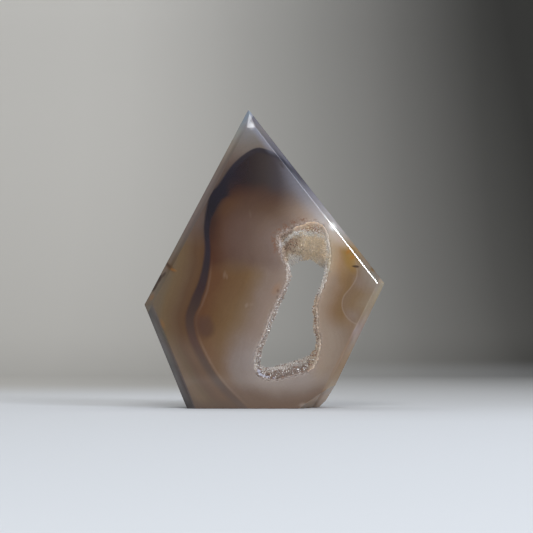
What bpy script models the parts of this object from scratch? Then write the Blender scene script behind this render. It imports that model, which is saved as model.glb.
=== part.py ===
"""A polished druzy agate carving that stands on its own flat base.

The stone is a slab of banded agate, sawn, then ground to a five-sided outline with a
sharp tip, a left and a right corner and a narrow base. Every free edge has a polished
bevel. A natural cavity runs through the slab, and a crust of quartz crystals lines it.

Metres, +Z up. The origin lies on the standing surface, under the middle of the carving.
The polished front faces -Y.
"""

import math
import random

import bmesh
import bpy
from mathutils import Matrix, Vector, noise

MM = 0.001

# Slab
HEIGHT = 90.4 * MM
WIDTH = 72.4 * MM
THICKNESS = 20.0 * MM
HALF_WIDTH = WIDTH / 2
HALF_THICKNESS = THICKNESS / 2
APEX_X = -4.9 * MM
RIGHT_CORNER_Z = 37.6 * MM
LEFT_CORNER_Z = 31.2 * MM
BASE_LEFT_X = -23.3 * MM
BASE_RIGHT_X = 16.8 * MM
CORNER_CUT = 2.1 * MM

# What each bevel takes off the face and off the side
BEVEL_UPPER_RIGHT = 1.8 * MM
BEVEL_LOWER_RIGHT = 2.0 * MM
BEVEL_LOWER_LEFT = 2.2 * MM
BEVEL_UPPER_LEFT = 2.2 * MM

# Two small facets on the front alone: one at the tip, one across the lower right corner
TIP_FACET_START_Z = 84.6 * MM
TIP_FACET_TILT = math.radians(17)
TOE_FACET_START_X = 10.0 * MM
TOE_FACET_NORMAL = Vector((0.544, -0.241, -0.804))

# Cavity, as stations around it, clockwise from the upper left, in millimetres of X and Z:
# where the rock meets the polished front, then where the crystal tips end at the waist
CAVITY_STATIONS = (
    ((4.1, 50.8), (7.4, 42.2)),
    ((6.4, 53.2), (9.2, 44.4)),
    ((10.2, 54.8), (11.4, 45.6)),
    ((14.2, 56.2), (13.7, 45.8)),
    ((18.4, 54.2), (16.2, 44.7)),
    ((19.9, 48.4), (18.4, 43.0)),
    ((19.6, 41.6), (19.4, 41.5)),
    ((17.6, 35.6), (17.3, 37.2)),
    ((16.0, 31.2), (15.5, 30.4)),
    ((16.2, 24.6), (15.6, 25.2)),
    ((16.7, 18.0), (16.3, 19.8)),
    ((14.6, 12.0), (13.3, 16.5)),
    ((8.6, 9.6), (8.6, 14.6)),
    ((2.0, 8.4), (3.4, 13.2)),
    ((-1.9, 9.6), (-1.2, 12.9)),
    ((-3.3, 13.8), (-0.6, 15.8)),
    ((-1.2, 20.6), (0.8, 21.0)),
    ((1.6, 28.2), (3.2, 27.4)),
    ((5.2, 35.2), (5.6, 34.2)),
    ((6.6, 41.0), (7.5, 38.6)),
)
WAIST_Y = 5.0 * MM
BACK_FLARE = 1.4 * MM
BACK_FLARE_SWING = 0.8 * MM
BACK_FLARE_LOBES = 3
WALL_WAVE = 0.45 * MM
WALL_WAVE_SIZE = 3.2 * MM
WALL_ROWS_Y = tuple(y * MM for y in (-11.0, -6.0, -1.0, 2.5, 5.0, 7.5, 11.0))

# Crust, thinner along both rims, and the crystals on it as the middle of what they reach
CRUST_THICKNESS = 1.2 * MM
CRUST_THICKNESS_AT_RIM = 0.5 * MM
CRUST_RIM_DEPTH = 3.5 * MM
CRUST_GAP = 0.3 * MM
CRUST_SET_BACK = 0.1 * MM
CRYSTAL_REACH = 0.5 * MM
CRYSTAL_REACH_SPREAD = 0.2 * MM
CRYSTAL_LEAN = 0.22 * MM
CRYSTAL_JITTER = 0.28
CRYSTAL_COLUMNS = 96
CRYSTAL_ROWS = 14
CRYSTAL_SEED = 7

# How finely a curve through the stations is measured, and the span that gives its tangent
SPLINE_STEPS = 12
TANGENT_SPAN = 0.2


def material(name, colour, roughness):
    """A Principled material of one colour, given as linear red, green and blue."""
    made = bpy.data.materials.new(name)
    made.use_nodes = True
    shader = made.node_tree.nodes["Principled BSDF"]
    shader.inputs["Base Color"].default_value = (*colour, 1.0)
    shader.inputs["Roughness"].default_value = roughness
    shader.inputs["Metallic"].default_value = 0.0
    return made


def object_from(bm, name, collection):
    """A new mesh object in the collection, which takes the bmesh and frees it."""
    mesh = bpy.data.meshes.new(name)
    bm.to_mesh(mesh)
    bm.free()
    made = bpy.data.objects.new(name, mesh)
    collection.objects.link(made)
    return made


def outward(direction):
    """The outward normal of an edge of a clockwise outline, in X and Z."""
    return Vector((-direction.y, direction.x)).normalized()


# The slab


def outline():
    """The corners of the slab, clockwise from the tip, each with the bevel of the edge after it."""
    return (
        (Vector((APEX_X, HEIGHT)), BEVEL_UPPER_RIGHT),
        (Vector((HALF_WIDTH, RIGHT_CORNER_Z)), BEVEL_LOWER_RIGHT),
        (Vector((BASE_RIGHT_X + CORNER_CUT, CORNER_CUT)), 0.0),
        (Vector((BASE_RIGHT_X, 0.0)), 0.0),
        (Vector((BASE_LEFT_X, 0.0)), BEVEL_LOWER_LEFT),
        (Vector((-HALF_WIDTH, LEFT_CORNER_Z)), BEVEL_UPPER_LEFT),
    )


def grind(bm, point, normal):
    """Grinds away what lies beyond a plane, and closes the stone there with a flat facet."""
    everything = bm.verts[:] + bm.edges[:] + bm.faces[:]
    cut = bmesh.ops.bisect_plane(
        bm, geom=everything, plane_co=point, plane_no=normal, clear_outer=True
    )
    rim = [piece for piece in cut["geom_cut"] if isinstance(piece, bmesh.types.BMEdge)]
    if rim:
        bmesh.ops.edgeloop_fill(bm, edges=rim)


def slab_blank():
    """The stone before the cavity: a sawn block, ground to its outline, bevels and facets."""
    bm = bmesh.new()
    block = Matrix.Diagonal((2 * WIDTH, THICKNESS, 2 * HEIGHT, 1.0))
    bmesh.ops.create_cube(bm, size=1.0, matrix=Matrix.Translation((0, 0, HEIGHT / 2)) @ block)
    corners = outline()
    for (here, bevel), (there, _) in zip(corners, corners[1:] + corners[:1]):
        side = outward(there - here)
        grind(bm, Vector((here.x, 0, here.y)), Vector((side.x, 0, side.y)))
        if not bevel:
            continue
        start = here - side * bevel
        for face in (-1, 1):
            point = Vector((start.x, face * HALF_THICKNESS, start.y))
            grind(bm, point, Vector((side.x, face, side.y)).normalized())
    tip = Vector((0, -math.cos(TIP_FACET_TILT), math.sin(TIP_FACET_TILT)))
    grind(bm, Vector((0, -HALF_THICKNESS, TIP_FACET_START_Z)), tip)
    grind(bm, Vector((TOE_FACET_START_X, -HALF_THICKNESS, 0)), TOE_FACET_NORMAL)
    bmesh.ops.recalc_face_normals(bm, faces=bm.faces)
    return bm


# The cavity


def spline(points, at):
    """A point of the closed Catmull-Rom curve through the points. A whole number is a point."""
    count = len(points)
    first = math.floor(at)
    t = at - first
    a, b, c, d = (points[(first + step) % count] for step in (-1, 0, 1, 2))
    return (
        2 * b + (c - a) * t + (2 * a - 5 * b + 4 * c - d) * t**2 + (3 * b - a - 3 * c + d) * t**3
    ) / 2


def even_places(points, count):
    """Places on the closed curve that divide its length into equal steps."""
    fine = [step / SPLINE_STEPS for step in range(len(points) * SPLINE_STEPS + 1)]
    reached = [0.0]
    for before, after in zip(fine, fine[1:]):
        reached.append(reached[-1] + (spline(points, after) - spline(points, before)).length)
    places = []
    index = 0
    for step in range(count):
        wanted = reached[-1] * step / count
        while reached[index + 1] < wanted:
            index += 1
        share = (wanted - reached[index]) / (reached[index + 1] - reached[index])
        places.append(fine[index] + share / SPLINE_STEPS)
    return places


FRONT_LOOP = [Vector(front) * MM for front, _ in CAVITY_STATIONS]
WAIST_LOOP = [Vector(waist) * MM for _, waist in CAVITY_STATIONS]
MIDDLE_LOOP = [(front + waist) / 2 for front, waist in zip(FRONT_LOOP, WAIST_LOOP)]


def cavity_outline(place, y):
    """A point on the bare rock wall of the cavity at a place around it and a depth, before waves."""
    front = spline(FRONT_LOOP, place)
    waist = spline(WAIST_LOOP, place)
    ahead = spline(WAIST_LOOP, place + TANGENT_SPAN) - spline(WAIST_LOOP, place - TANGENT_SPAN)
    away = outward(ahead)
    waist += away * (CRYSTAL_REACH + CRUST_THICKNESS + CRUST_GAP)
    share = (y + HALF_THICKNESS) / (WAIST_Y + HALF_THICKNESS)
    point = front.lerp(waist, min(share, 1.0))
    if y > WAIST_Y:
        turn = 2 * math.pi * place / len(CAVITY_STATIONS)
        flare = BACK_FLARE + BACK_FLARE_SWING * math.sin(turn * BACK_FLARE_LOBES)
        point += away * flare * (y - WAIST_Y) / (HALF_THICKNESS - WAIST_Y)
    return point


def wall_point(place, y, inset):
    """A point that lies inset from the rock wall, towards the middle of the cavity."""
    point = cavity_outline(place, y)
    ahead = cavity_outline(place + TANGENT_SPAN, y) - cavity_outline(place - TANGENT_SPAN, y)
    away = outward(ahead)
    where = Vector((point.x, y, point.y)) / WALL_WAVE_SIZE
    point += away * (noise.noise(where) * WALL_WAVE - inset)
    return Vector((point.x, y, point.y))


def ring_rows(bm, places, rows_y, inset):
    """Rings of vertices around the cavity, one for each depth, joined by faces."""
    rows = [[bm.verts.new(wall_point(place, y, inset(y))) for place in places] for y in rows_y]
    for near, far in zip(rows, rows[1:]):
        for i in range(len(places)):
            bm.faces.new((near[i - 1], near[i], far[i], far[i - 1]))
    return rows


def cavity_cutter():
    """The bare cavity as a plug that reaches past both faces of the slab."""
    bm = bmesh.new()
    places = even_places(MIDDLE_LOOP, CRYSTAL_COLUMNS)
    rows = ring_rows(bm, places, WALL_ROWS_Y, lambda y: 0.0)
    bm.faces.new(rows[0])
    bm.faces.new(rows[-1])
    bmesh.ops.recalc_face_normals(bm, faces=bm.faces)
    return bm


# The crust


def crust_back(y):
    """How far the back of the crust lies inset from the rock wall."""
    return CRUST_GAP


def crust_face(y):
    """How far the valleys between the crystals lie inset from the rock wall."""
    share = min((HALF_THICKNESS - abs(y)) / CRUST_RIM_DEPTH, 1.0)
    return CRUST_GAP + CRUST_THICKNESS_AT_RIM + (CRUST_THICKNESS - CRUST_THICKNESS_AT_RIM) * share


def crust():
    """The lining of the cavity, with a crystal point raised on every cell of its inner side."""
    rng = random.Random(CRYSTAL_SEED)
    bm = bmesh.new()
    places = even_places(MIDDLE_LOOP, CRYSTAL_COLUMNS)
    cell = len(CAVITY_STATIONS) / CRYSTAL_COLUMNS
    front = -HALF_THICKNESS + CRUST_SET_BACK
    back = HALF_THICKNESS - CRUST_SET_BACK
    depth = (back - front) / CRYSTAL_ROWS
    backing_y = (front, *WALL_ROWS_Y[1:-1], back)
    backing = ring_rows(bm, places, backing_y, crust_back)
    face_y = [front + depth * row for row in range(CRYSTAL_ROWS + 1)]
    backing_count = len(bm.faces)
    face = ring_rows(bm, places, face_y, crust_face)
    bm.faces.ensure_lookup_table()
    cells = bm.faces[backing_count:]
    for outer, inner in ((backing[0], face[0]), (backing[-1], face[-1])):
        for i in range(len(places)):
            bm.faces.new((outer[i - 1], outer[i], inner[i], inner[i - 1]))
    for row, y in zip(face[1:-1], face_y[1:-1]):
        for vert, place in zip(row, places):
            there = place + rng.uniform(-1, 1) * cell * CRYSTAL_JITTER
            deeper = y + rng.uniform(-1, 1) * depth * CRYSTAL_JITTER
            vert.co = wall_point(there, deeper, crust_face(deeper))
    bmesh.ops.recalc_face_normals(bm, faces=bm.faces)
    for vert in bmesh.ops.poke(bm, faces=cells, offset=CRYSTAL_REACH)["verts"]:
        vert.normal_update()
        lean = Vector([rng.uniform(-1, 1) for _ in range(3)]) * CRYSTAL_LEAN
        lean -= vert.normal * lean.dot(vert.normal)
        vert.co += lean + vert.normal * rng.uniform(-1, 1) * CRYSTAL_REACH_SPREAD
    return bm


def build():
    """Makes the two pieces, and the hidden plug that cuts the cavity."""
    for old in list(bpy.data.objects):
        bpy.data.objects.remove(old, do_unlink=True)
    pieces = bpy.data.collections.new("druzy_agate_carving")
    cutters = bpy.data.collections.new("cutters")
    bpy.context.scene.collection.children.link(pieces)
    bpy.context.scene.collection.children.link(cutters)

    plug = object_from(cavity_cutter(), "cavity_cutter", cutters)
    plug.hide_render = True
    plug.display_type = "WIRE"

    slab = object_from(slab_blank(), "agate_slab", pieces)
    slab.data.materials.append(material("polished_agate", (0.30, 0.21, 0.15), 0.12))
    cut = slab.modifiers.new("cavity", "BOOLEAN")
    cut.operation = "DIFFERENCE"
    cut.solver = "EXACT"
    cut.object = plug

    lining = object_from(crust(), "druzy_crust", pieces)
    lining.data.materials.append(material("quartz_druzy", (0.62, 0.53, 0.42), 0.35))


build()
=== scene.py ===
"""The finish of a polished druzy agate carving: banded stone, quartz crystals and a plain stage.

Metres, +Z up, with the polished front towards -Y. Lengths inside the stone's pattern are in
millimetres, because its bands and stains are that small.
"""

import math
from collections import namedtuple

import bmesh
import bpy
import numpy as np
from mathutils import Matrix, Vector, noise
from mathutils.bvhtree import BVHTree


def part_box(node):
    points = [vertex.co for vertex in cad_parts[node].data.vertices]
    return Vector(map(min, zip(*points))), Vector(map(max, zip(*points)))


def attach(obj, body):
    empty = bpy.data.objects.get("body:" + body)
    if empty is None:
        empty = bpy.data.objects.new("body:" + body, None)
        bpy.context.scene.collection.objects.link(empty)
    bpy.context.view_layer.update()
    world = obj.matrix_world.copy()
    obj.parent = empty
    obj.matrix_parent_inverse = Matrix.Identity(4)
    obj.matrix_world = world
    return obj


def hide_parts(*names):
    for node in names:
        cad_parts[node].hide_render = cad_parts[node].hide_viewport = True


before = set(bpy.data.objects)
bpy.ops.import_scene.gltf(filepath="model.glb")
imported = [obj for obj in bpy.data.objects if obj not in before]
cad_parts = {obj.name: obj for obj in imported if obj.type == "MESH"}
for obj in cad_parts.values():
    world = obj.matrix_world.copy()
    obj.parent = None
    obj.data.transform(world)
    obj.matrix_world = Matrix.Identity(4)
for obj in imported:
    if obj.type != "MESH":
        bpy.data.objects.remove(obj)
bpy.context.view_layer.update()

bl_info = {
    "name": "Druzy Agate Carving",
    "version": (1, 0, 0),
    "blender": (4, 5, 0),
    "location": "3D View > Sidebar > Agate",
    "description": "Dresses a polished agate carving with its bands, its druzy and a plain stage",
    "category": "Object",
}

MM = 0.001
SLAB_NODE = "agate_slab"
CRUST_NODE = "druzy_crust"
MERGE_DISTANCE = 0.002 * MM
CUT_TOLERANCE = 0.0001 * MM

QUARTZ_IOR = 1.54

CRUST_LOW, CRUST_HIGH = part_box(CRUST_NODE)
HALF_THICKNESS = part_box(SLAB_NODE)[1].y


# Settings


def length(name, description, millimetres):
    """A length property whose default is given in millimetres."""
    return bpy.props.FloatProperty(
        name=name,
        description=description,
        default=millimetres * MM,
        min=0.0,
        precision=5,
        subtype="DISTANCE",
        unit="LENGTH",
    )


def share(name, description, default):
    """A property from 0 to 1."""
    return bpy.props.FloatProperty(
        name=name, description=description, default=default, min=0.0, max=1.0, subtype="FACTOR"
    )


def colour(name, description, red, green, blue):
    """A colour property in linear light."""
    return bpy.props.FloatVectorProperty(
        name=name,
        description=description,
        default=(red, green, blue),
        size=3,
        min=0.0,
        max=1.0,
        subtype="COLOR",
    )


def power(name, description, default):
    """The power of a lamp, in watts."""
    return bpy.props.FloatProperty(
        name=name, description=description, default=default, min=0.0, subtype="POWER", unit="POWER"
    )


class StoneSettings(bpy.types.PropertyGroup):
    """Sizes, finish and colours of the banded stone."""

    edge_round: length("Edge round", "Width of the rounding along every ground edge", 0.28)
    net: length("Net", "Size of the faces that carry the pattern", 1.0)
    rim_chips: length("Rim chips", "How far the cavity's rim wanders in and out", 0.4)
    polish: share("Polish", "Roughness of the polished faces", 0.05)
    glow: share("Glow", "How much light scatters under the surface", 0.2)
    umber: colour("Umber", "Purple-brown stains", 0.068, 0.031, 0.019)
    amber: colour("Amber", "Orange-brown clouds", 0.112, 0.056, 0.024)
    mauve: colour("Mauve", "Greyish pink-brown clouds", 0.100, 0.062, 0.052)
    halo: colour("Halo", "Pinkish grey ring around the cavity", 0.205, 0.165, 0.150)
    shell: colour("Shell", "Pale specks and lines", 0.330, 0.270, 0.230)
    olive: colour("Olive", "Yellowish brown clouds", 0.136, 0.082, 0.036)
    fawn: colour("Fawn", "Light brown base", 0.128, 0.083, 0.060)
    ochre: colour("Ochre", "Yellow stains near the right edge", 0.225, 0.122, 0.022)
    iron: colour("Iron", "Strong orange iron stains", 0.300, 0.110, 0.012)
    # A faint pale mark at the lower right, and the painted glow beside the star on the upper right
    # edge.
    blush: colour("Blush", "Pinkish white where light gathers", 0.500, 0.460, 0.430)
    # Painted highlight colour: the star on the upper right edge and a pale lens on the tip facet.
    white: colour("White", "Where the edge shines through", 0.900, 0.890, 0.900)
    rust: colour("Rust", "Dark orange-brown streaks", 0.080, 0.036, 0.010)
    soot: colour("Soot", "Dark natural marks", 0.034, 0.018, 0.012)


class DruzySettings(bpy.types.PropertyGroup):
    """Sizes and colours of the crystals in the cavity."""

    spacing: length("Spacing", "Least distance between crystals", 0.40)
    radius: length("Radius", "Radius of a middling crystal", 0.32)
    height: length("Height", "Height of a middling crystal, with its sunk foot", 0.62)
    crust: length("Crust", "Thickness of the crust under the crystals, deep inside", 1.35)
    crust_at_rim: length("Crust at rim", "Thickness of that crust at the polished faces", 0.40)
    seed: bpy.props.IntProperty(name="Seed", description="Seed of the crystals' places", default=11)
    # White quartz, and also the painted light deep in the cavity and on the bright crystals.
    frost_and_painted_light: colour("Frost", "White quartz", 0.88, 0.84, 0.80)
    biscuit: colour("Biscuit", "Sandy quartz of the ceiling", 0.97, 0.79, 0.58)
    flesh: colour("Flesh", "Pinkish quartz of the floor", 0.24, 0.19, 0.17)
    skin: colour("Skin", "Brownish quartz of the walls", 0.39, 0.32, 0.28)
    stain: colour("Stain", "Iron-stained quartz", 0.34, 0.14, 0.08)
    # Real dark grains, and the painted shade between the crystals, at their bases and in a crease of
    # the ceiling.
    gap: colour("Gap", "Dark gaps and grains", 0.10, 0.055, 0.040)
    knob: colour("Knob", "Bluish white knobs at the lower rim", 0.39, 0.38, 0.44)


class StageSettings(bpy.types.PropertyGroup):
    """The floor, the backdrop and the studio light."""

    floor_far: colour("Far floor", "Pale floor behind the carving", 0.67, 0.695, 0.73)
    floor_near: colour("Near floor", "Pale floor before the camera", 0.54, 0.565, 0.595)
    wall_light: colour("Light wall", "Backdrop at the upper left", 0.72, 0.71, 0.68)
    wall_dark: colour("Dark wall", "Backdrop on the right", 0.045, 0.045, 0.042)
    world: bpy.props.FloatProperty(
        name="World", description="Strength of the even light all round", default=0.36, min=0.0
    )
    key: power("Key lamp", "Small lamp at the front right that draws the bright edge", 0.45)
    window: power("Window lamp", "Soft bluish lamp behind the key lamp", 1.5)
    top: power("Top lamp", "Soft lamp above the camera", 3.2)
    wall: power("Wall lamp", "Long lamp above the far end of the floor", 3.0)
    bounce: power("Bounce lamp", "Low lamp that lights the cavity's ceiling", 0.38)


# Node trees


def maths(operation, turned=False):
    """An operator that adds a Math node on a wire and another value, in that order or turned."""

    def act(self, other):
        pair = (other, self) if turned else (self, other)
        return self.tree.node("ShaderNodeMath", {"operation": operation}, dict(enumerate(pair)))

    return act


class Wire:
    """An output socket, so that the maths of a node tree can be written as expressions."""

    def __init__(self, tree, socket):
        self.tree = tree
        self.socket = socket

    __add__ = maths("ADD")
    __radd__ = maths("ADD", turned=True)
    __sub__ = maths("SUBTRACT")
    __rsub__ = maths("SUBTRACT", turned=True)
    __mul__ = maths("MULTIPLY")
    __rmul__ = maths("MULTIPLY", turned=True)
    __truediv__ = maths("DIVIDE")
    __rtruediv__ = maths("DIVIDE", turned=True)
    __pow__ = maths("POWER")
    __or__ = maths("MAXIMUM")


class Tree:
    """A node tree that is built by calls."""

    def __init__(self, tree):
        self.tree = tree

    def node(self, kind, settings, values, output=0):
        """Adds a node: its settings first, then its sockets' values or links. Gives an output."""
        made = self.tree.nodes.new(kind)
        for name, setting in settings.items():
            if name == "stops":
                self.fill_ramp(made.color_ramp, setting)
            else:
                setattr(made, name, setting)
        for key, value in values.items():
            socket = made.inputs[key] if isinstance(key, int) else self.find(made.inputs, key)
            if isinstance(value, Wire):
                self.tree.links.new(value.socket, socket)
            else:
                socket.default_value = value
        outputs = made.outputs
        return Wire(self, outputs[output] if isinstance(output, int) else self.find(outputs, output))

    @staticmethod
    def find(sockets, key):
        """The socket with that identifier, or else the one with that name."""
        for socket in sockets:
            if socket.identifier == key:
                return socket
        return sockets[key]

    @staticmethod
    def fill_ramp(ramp, stops):
        """Gives a colour ramp its stops, as pairs of place and colour."""
        while len(ramp.elements) < len(stops):
            ramp.elements.new(1.0)
        for element, (place, tone) in zip(ramp.elements, stops):
            element.position = place
            element.color = (*tone, 1.0)


class Shading(Tree):
    """The node tree of a new material, and the named places that its colours keep to.

    A place is a strength and the bounds that it is multiplied by. A bound is a smooth step along
    one of the material's own values, from where it starts to where it is full. Another value may
    sway it, by so much.
    """

    def __init__(self, name, places):
        self.material = bpy.data.materials.new(name)
        self.material.use_nodes = True
        super().__init__(self.material.node_tree)
        self.shader = self.tree.nodes["Principled BSDF"]
        self.places = places

    def within(self, name):
        """The mask of a named place."""
        mask, *bounds = self.places[name]
        for value, start, full, *sway in bounds:
            along = getattr(self, value)
            if sway:
                along = along + getattr(self, sway[0]) * sway[1]
            mask = self.step(along, start, full) * mask
        return mask

    def finish(self, constants, links):
        """Sets the shader's constants, links what varies, and gives the material."""
        for name, value in constants.items():
            self.shader.inputs[name].default_value = value
        for name, wire in links.items():
            self.tree.links.new(wire.socket, self.shader.inputs[name])
        return self.material

    def place(self):
        """Object coordinates in millimetres."""
        metres = self.node("ShaderNodeTexCoord", {}, {}, "Object")
        return self.vector("SCALE", metres, Scale=1 / MM)

    def vector(self, operation, first, second=None, output=0, **more):
        """The output of a Vector Math node."""
        values = {0: first, **more}
        if second is not None:
            values[1] = second
        return self.node("ShaderNodeVectorMath", {"operation": operation}, values, output)

    def parts(self, vector):
        """The three numbers of a vector."""
        return [self.node("ShaderNodeSeparateXYZ", {}, {0: vector}, axis) for axis in range(3)]

    def join(self, x, y, z):
        """A vector of three numbers."""
        return self.node("ShaderNodeCombineXYZ", {}, {0: x, 1: y, 2: z})

    def attribute(self, name):
        """A number that is stored in the mesh."""
        return self.node("ShaderNodeAttribute", {"attribute_name": name}, {}, "Fac")

    def noise(self, vector, scale, detail=2.0, output="Fac"):
        """Soft noise, from 0 to 1."""
        values = {"Vector": vector, "Scale": scale, "Detail": detail}
        return self.node("ShaderNodeTexNoise", {}, values, output)

    def step(self, value, start, end):
        """A smooth step from 0 at start to 1 at end. End may be the lower one."""
        values = {"Value": value, "From Min": start, "From Max": end}
        return self.node("ShaderNodeMapRange", {"interpolation_type": "SMOOTHSTEP"}, values, "Result")

    def ramp(self, value, stops):
        """A colour read along a value, from stops whose places are in the value's own unit."""
        low, high = stops[0][0], stops[-1][0]
        scaled = [((place - low) / (high - low), tone) for place, tone in stops]
        values = {"Fac": (value - low) / (high - low)}
        return self.node("ShaderNodeValToRGB", {"stops": scaled}, values, "Color")

    def tones(self, value, rows):
        """A colour read along a value, from rows of a place and a colour in thousandths."""
        return self.ramp(value, [(row[0], tuple(part / 1000 for part in row[1:])) for row in rows])

    def level(self, value, stops):
        """A number read along a value, from pairs of a place and a number that isn't below 0."""
        top = max(number for _, number in stops)
        return self.ramp(value, [(place, (number / top,) * 3) for place, number in stops]) * top

    def mix(self, mask, under, over, blend="MIX"):
        """One colour over another, where the mask says."""
        tones = {}
        for key, tone in (("A_Color", under), ("B_Color", over)):
            tones[key] = tone if isinstance(tone, Wire) else (*tone, 1.0)
        settings = {"data_type": "RGBA", "blend_type": blend}
        values = {"Factor_Float": mask, **tones}
        return self.node("ShaderNodeMix", settings, values, "Result_Color")


# Meshes


def object_from(bm, name):
    """A new mesh object in the scene, which takes the bmesh and frees it."""
    mesh = bpy.data.meshes.new(name)
    bm.to_mesh(mesh)
    bm.free()
    made = bpy.data.objects.new(name, mesh)
    bpy.context.scene.collection.objects.link(made)
    return made


def settle(piece):
    """Turns what an object's modifiers make into its own plain mesh."""
    graph = bpy.context.evaluated_depsgraph_get()
    old = piece.data
    piece.data = bpy.data.meshes.new_from_object(
        piece.evaluated_get(graph), preserve_all_data_layers=True, depsgraph=graph
    )
    piece.modifiers.clear()
    bpy.data.meshes.remove(old)


def scrap(piece):
    """Removes a helper object and its mesh."""
    mesh = piece.data
    bpy.data.objects.remove(piece, do_unlink=True)
    bpy.data.meshes.remove(mesh)


def bmesh_of(mesh):
    """A bmesh of a mesh."""
    bm = bmesh.new()
    bm.from_mesh(mesh)
    return bm


def merged_copy(node):
    """A CAD node's mesh as a bmesh, with its loose triangles merged."""
    bm = bmesh_of(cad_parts[node].data)
    bmesh.ops.remove_doubles(bm, verts=bm.verts, dist=MERGE_DISTANCE)
    return bm


def slice_up(bm, axis, step):
    """Cuts every face at even planes across an axis."""
    places = [vert.co[axis] for vert in bm.verts]
    low, high = min(places), max(places)
    normal = Vector((0, 0, 0))
    normal[axis] = 1.0
    count = math.ceil((high - low) / step)
    for i in range(1, count):
        everything = bm.verts[:] + bm.edges[:] + bm.faces[:]
        point = normal * (low + (high - low) * i / count)
        bmesh.ops.bisect_plane(bm, geom=everything, plane_co=point, plane_no=normal, dist=CUT_TOLERANCE)


def in_cavity(vert):
    """Whether a vertex of the slab lies on the cavity's wall or rim."""
    pad = 1.0 * MM
    across = CRUST_LOW.x - pad < vert.co.x < CRUST_HIGH.x + pad
    return across and CRUST_LOW.z - pad < vert.co.z < CRUST_HIGH.z + pad


# The cavity's wall, which the slab and the crust share

WALL_STEP = 2.5 * MM
WALL_FINE = 2
WALL_COARSE = 1


def rock_wall(subdivisions):
    """The bare wall of the cavity, as an open tube whose normals point into the cavity."""
    bm = merged_copy(SLAB_NODE)
    others = []
    for face in bm.faces:
        depths = [vert.co.y for vert in face.verts]
        if not all(map(in_cavity, face.verts)) or max(depths) - min(depths) < MERGE_DISTANCE:
            others.append(face)
    bmesh.ops.delete(bm, geom=others, context="FACES")
    bmesh.ops.join_triangles(
        bm, faces=bm.faces, angle_face_threshold=math.pi, angle_shape_threshold=math.pi
    )
    slice_up(bm, 1, WALL_STEP)
    wall = object_from(bm, "rock_wall")
    soft = wall.modifiers.new("smooth", "SUBSURF")
    soft.levels = soft.render_levels = subdivisions
    settle(wall)
    bm = bmesh_of(wall.data)
    scrap(wall)
    bm.normal_update()
    return bm


def sideways(normal):
    """A wall's normal without its part across the slab, so that a rim stays in its face."""
    return Vector((normal.x, 0, normal.z)).normalized()


CHIP_SIZE = 0.85 * MM


def cavity_plug(chips):
    """A closed plug of the cavity that reaches past both faces of the slab, with a chipped rim."""
    bm = rock_wall(WALL_FINE)
    ways = [sideways(vert.normal) for vert in bm.verts]
    for vert, way in zip(bm.verts, ways):
        vert.co += way * noise.noise(vert.co / CHIP_SIZE) * chips
    for face in (-1, 1):
        rim = [e for e in bm.edges if e.is_boundary and e.verts[0].co.y * face > 0]
        added = bmesh.ops.extrude_edge_only(bm, edges=rim)["geom"]
        for vert in (piece for piece in added if isinstance(piece, bmesh.types.BMVert)):
            vert.co.y += face * MM
        outer = [e for e in added if isinstance(e, bmesh.types.BMEdge) and e.is_boundary]
        bmesh.ops.edgeloop_fill(bm, edges=outer)
    bmesh.ops.recalc_face_normals(bm, faces=bm.faces)
    return object_from(bm, "cavity_plug")


# The slab

SAME_PLANE = math.radians(0.5)


def blank(edge_round):
    """The ground stone before the cavity, from the outer corners of the CAD slab."""
    bm = bmesh.new()
    slab = merged_copy(SLAB_NODE)
    for vert in slab.verts:
        if not in_cavity(vert):
            bm.verts.new(vert.co)
    slab.free()
    bmesh.ops.convex_hull(bm, input=bm.verts)
    bmesh.ops.dissolve_limit(bm, angle_limit=SAME_PLANE, verts=bm.verts, edges=bm.edges)
    bmesh.ops.bevel(
        bm, geom=bm.edges[:], offset=edge_round, offset_type="WIDTH", segments=4, profile=0.5,
        affect="EDGES", clamp_overlap=True,
    )
    return bm


# The width of the upper right bevel, and a narrow flat along its front edge: how far the flat
# reaches from the edge at both ends, in mm, and how close to it a face's normal is
RIGHT_BEVEL = 1.8
FLAT_AT_TIP = 0.05
FLAT_AT_CORNER = 0.19
FLAT_MATCH = 0.9995


def bevel_edge(edge, share_along, reach):
    """Points on the front and on the bevel, at a distance from the edge between the two, in mm."""
    (outward, _), (here, there) = edge
    x, z = here + (there - here) * share_along - outward * RIGHT_BEVEL
    front = -HALF_THICKNESS / MM
    slope = reach * math.sqrt(0.5)
    on_face = Vector((x - outward.x * reach, front, z - outward.y * reach))
    on_bevel = Vector((x + outward.x * slope, front + slope, z + outward.y * slope))
    return on_face, on_bevel


def grind_flat(bm, edge):
    """Grinds the flat along the upper right front edge, and gives its normal."""
    start, across = bevel_edge(edge, 0.0, FLAT_AT_TIP)
    end, _ = bevel_edge(edge, 1.0, FLAT_AT_CORNER)
    normal = (end - start).cross(across - start).normalized()
    if normal.y > 0:
        normal.negate()
    everything = bm.verts[:] + bm.edges[:] + bm.faces[:]
    bmesh.ops.bisect_plane(
        bm, geom=everything, dist=CUT_TOLERANCE, plane_co=start * MM, plane_no=normal, clear_outer=True
    )
    rim = [edge for edge in bm.edges if edge.is_boundary]
    bmesh.ops.edgeloop_fill(bm, edges=rim)
    return normal


def mark_flat(mesh, normal):
    """Keeps the flat's borders crisp."""
    bm = bmesh_of(mesh)
    bm.normal_update()
    for edge in bm.edges:
        if len(edge.link_faces) == 2:
            inside = [face.normal.dot(normal) > FLAT_MATCH for face in edge.link_faces]
            if inside[0] != inside[1]:
                edge.smooth = False
    bm.to_mesh(mesh)
    bm.free()


# The dark band on the polished front, from the right edge over the top and down to the base
BAND_LINE = (
    (16, 70), (9, 73.5), (4.4, 75.7), (0.4, 77.4), (-2.6, 77.75), (-6.35, 75.5), (-9.8, 72),
    (-13.4, 66.6), (-15.6, 64), (-16.9, 58.5), (-17.4, 53.6), (-17, 47), (-18.3, 38.5), (-20.9, 31.6),
    (-22.1, 26.5), (-20.6, 20), (-16.3, 11.9), (-11.8, 6.2), (-5.8, 0.5), (-3, -2.5),
)

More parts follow.
